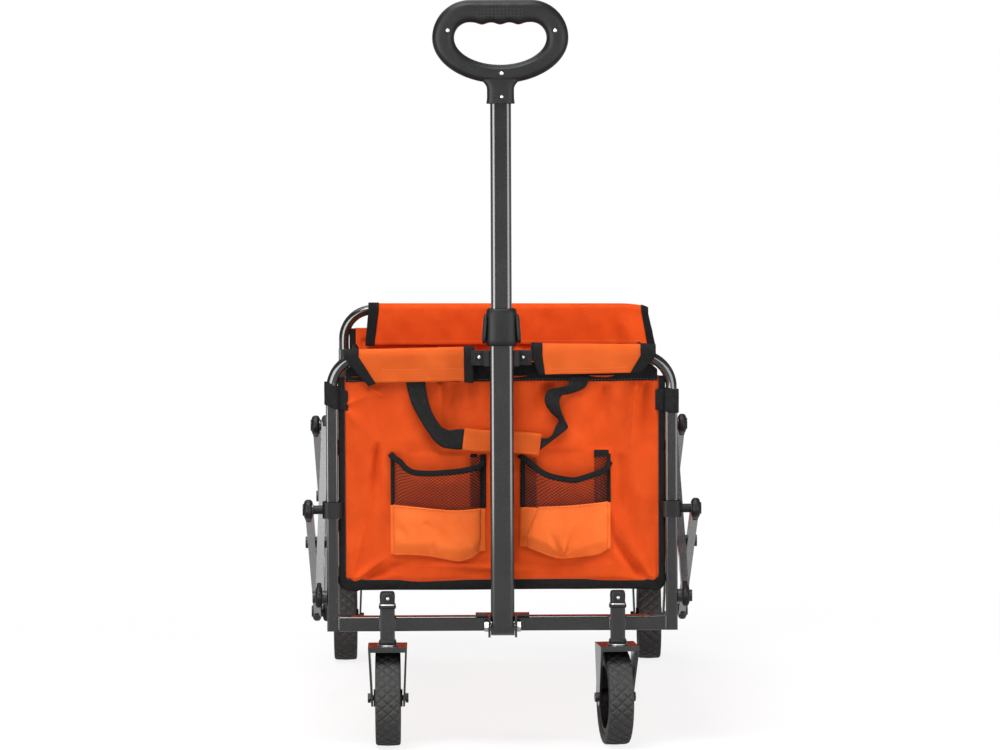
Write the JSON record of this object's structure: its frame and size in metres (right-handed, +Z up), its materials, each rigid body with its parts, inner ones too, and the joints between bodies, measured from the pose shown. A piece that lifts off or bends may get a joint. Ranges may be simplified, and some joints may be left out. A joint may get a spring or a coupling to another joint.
{
  "type": "folding garden wagon",
  "caption": "Cloth tub on two tube frames with scissor sides that fold together, swivel casters in front, fixed wheels behind and a tilting pull handle.",
  "frame": {"origin": "middle of the wagon's box at the floor that the wheels stand on", "axes": "+Z up, the pull handle's end faces -Y, +X to the right seen from that end"},
  "size_m": [0.5406, 1.006, 1.013],
  "materials": {
    "frame_steel": "charcoal hammered paint",
    "zinc_steel": "zinc plated",
    "black_plastic": "fine moulded grain",
    "wheel_tread": "moulded tread",
    "orange_cloth": "woven polyester",
    "black_webbing": "woven webbing"
  },
  "bodies": {
    "rear_frame": {"rear_frame_tube": "frame_steel", "rear_cross_tube": "frame_steel", "rear_fork_left": "frame_steel", "rear_fork_right": "frame_steel", "rear_axle_bolts": "zinc_steel", "rear_pivot_bosses": "frame_steel", "rear_panel": "orange_cloth", "rear_flap": "orange_cloth", "side_cloth_left": "orange_cloth", "side_cloth_right": "orange_cloth", "floor_cloth": "orange_cloth"},
    "rear_lift": {"rear_lift_bar_left": "frame_steel", "rear_lift_bar_right": "frame_steel", "rear_scissor_pins": "frame_steel", "mid_top_pins": "frame_steel"},
    "front_lift": {"front_lift_bar_left": "frame_steel", "front_lift_bar_right": "frame_steel", "front_scissor_pins": "frame_steel"},
    "rear_cross": {"rear_cross_bar_left": "frame_steel", "rear_cross_bar_right": "frame_steel", "mid_bottom_pins": "frame_steel"},
    "front_cross": {"front_cross_bar_left": "frame_steel", "front_cross_bar_right": "frame_steel"},
    "rear_slide": {"rear_sliders": "black_plastic"},
    "front_slide": {"front_sliders": "black_plastic"},
    "board_rear": {"floor_board_rear": "orange_cloth"},
    "board_front": {"floor_board_front": "orange_cloth"},
    "front_frame": {"front_frame_tube": "frame_steel", "front_cross_tube": "frame_steel", "caster_stems": "frame_steel", "stem_caps": "black_plastic", "handle_bracket": "frame_steel", "handle_bolt": "zinc_steel", "handle_clip": "black_plastic", "front_pivot_bosses": "frame_steel", "front_panel": "orange_cloth", "front_flap_left": "orange_cloth", "front_flap_right": "orange_cloth", "pocket_left": "orange_cloth", "pocket_right": "orange_cloth", "strap_grip": "orange_cloth", "strap_left": "black_webbing", "strap_right": "black_webbing", "corner_tabs": "black_webbing"},
    "handle": {"pole_lower": "frame_steel", "pole_collar": "black_plastic"},
    "handle_slide": {"pole_upper": "frame_steel", "grip": "black_plastic"},
    "caster_left": {"caster_fork_left": "frame_steel", "caster_axle_left": "zinc_steel"},
    "front_wheel_left": {"front_left_tyre": "wheel_tread", "front_left_hub": "black_plastic"},
    "rear_wheel_left": {"rear_left_tyre": "wheel_tread", "rear_left_hub": "black_plastic"},
    "caster_right": {"caster_fork_right": "frame_steel", "caster_axle_right": "zinc_steel"},
    "front_wheel_right": {"front_right_tyre": "wheel_tread", "front_right_hub": "black_plastic"},
    "rear_wheel_right": {"rear_right_tyre": "wheel_tread", "rear_right_hub": "black_plastic"}
  },
  "joints": [
    {"name": "fold", "type": "hinge", "parent": "rear_frame", "child": "rear_lift", "pos_m": [0, 0.43802, 0.204], "axis": [-1, 0, 0], "range_deg": [0, 50], "deforming": ["side_cloth_left", "side_cloth_right", "floor_cloth"]},
    {"name": "front_lift_turn", "type": "hinge", "parent": "rear_lift", "child": "front_lift", "pos_m": [0, -0.00198, 0.398], "axis": [-1, 0, 0], "range_deg": [-100, 0]},
    {"name": "front_frame_level", "type": "hinge", "parent": "front_lift", "child": "front_frame", "pos_m": [0, -0.44198, 0.204], "axis": [-1, 0, 0], "range_deg": [0, 50]},
    {"name": "rear_cross_turn", "type": "hinge", "parent": "rear_lift", "child": "rear_cross", "pos_m": [0, 0.3026, 0.26371], "axis": [-1, 0, 0], "range_deg": [-100, 0]},
    {"name": "front_cross_turn", "type": "hinge", "parent": "front_lift", "child": "front_cross", "pos_m": [0, -0.30656, 0.26371], "axis": [-1, 0, 0], "range_deg": [0, 100]},
    {"name": "rear_slider_level", "type": "hinge", "parent": "rear_cross", "child": "rear_slide", "pos_m": [0, 0.43802, 0.32342], "axis": [-1, 0, 0], "range_deg": [0, 50]},
    {"name": "front_slider_level", "type": "hinge", "parent": "front_cross", "child": "front_slide", "pos_m": [0, -0.44198, 0.32342], "axis": [-1, 0, 0], "range_deg": [-50, 0]},
    {"name": "floor_rear_lift", "type": "hinge", "parent": "rear_frame", "child": "board_rear", "pos_m": [0, 0.42652, 0.2143], "axis": [-1, 0, 0], "range_deg": [0, 87.5]},
    {"name": "floor_front_turn", "type": "hinge", "parent": "board_rear", "child": "board_front", "pos_m": [0, 0.02152, 0.2143], "axis": [-1, 0, 0], "range_deg": [-175, 0]},
    {"name": "handle_tilt", "type": "hinge", "parent": "front_frame", "child": "handle", "pos_m": [0, -0.46798, 0.166], "axis": [1, 0, 0], "range_deg": [0, 95]},
    {"name": "handle_extend", "type": "slide", "parent": "handle", "child": "handle_slide", "axis": [0, 0, 1], "range_m": [-0.265, 0]},
    {"name": "caster_swivel_left", "type": "hinge", "parent": "front_frame", "child": "caster_left", "pos_m": [-0.156, -0.46198, 0.14], "axis": [0, 0, 1], "continuous": true},
    {"name": "front_wheel_spin_left", "type": "hinge", "parent": "caster_left", "child": "front_wheel_left", "pos_m": [-0.156, -0.43698, 0.065], "axis": [1, 0, 0], "continuous": true},
    {"name": "rear_wheel_spin_left", "type": "hinge", "parent": "rear_frame", "child": "rear_wheel_left", "pos_m": [-0.23, 0.43802, 0.065], "axis": [1, 0, 0], "continuous": true},
    {"name": "caster_swivel_right", "type": "hinge", "parent": "front_frame", "child": "caster_right", "pos_m": [0.156, -0.46198, 0.14], "axis": [0, 0, 1], "continuous": true},
    {"name": "front_wheel_spin_right", "type": "hinge", "parent": "caster_right", "child": "front_wheel_right", "pos_m": [0.15295, -0.43717, 0.065], "axis": [0.9925, 0.1219, 0], "continuous": true},
    {"name": "rear_wheel_spin_right", "type": "hinge", "parent": "rear_frame", "child": "rear_wheel_right", "pos_m": [0.23, 0.43802, 0.065], "axis": [1, 0, 0], "continuous": true}
  ],
  "couplings": [
    {"joint": "front_lift_turn", "follows": "fold", "ratio": -2},
    {"joint": "front_frame_level", "follows": "fold", "ratio": 1},
    {"joint": "rear_cross_turn", "follows": "fold", "ratio": -2},
    {"joint": "front_cross_turn", "follows": "fold", "ratio": 2},
    {"joint": "rear_slider_level", "follows": "fold", "ratio": 1},
    {"joint": "front_slider_level", "follows": "fold", "ratio": -1},
    {"joint": "floor_rear_lift", "follows": "fold", "ratio": 1.75},
    {"joint": "floor_front_turn", "follows": "fold", "ratio": -3.5}
  ]
}
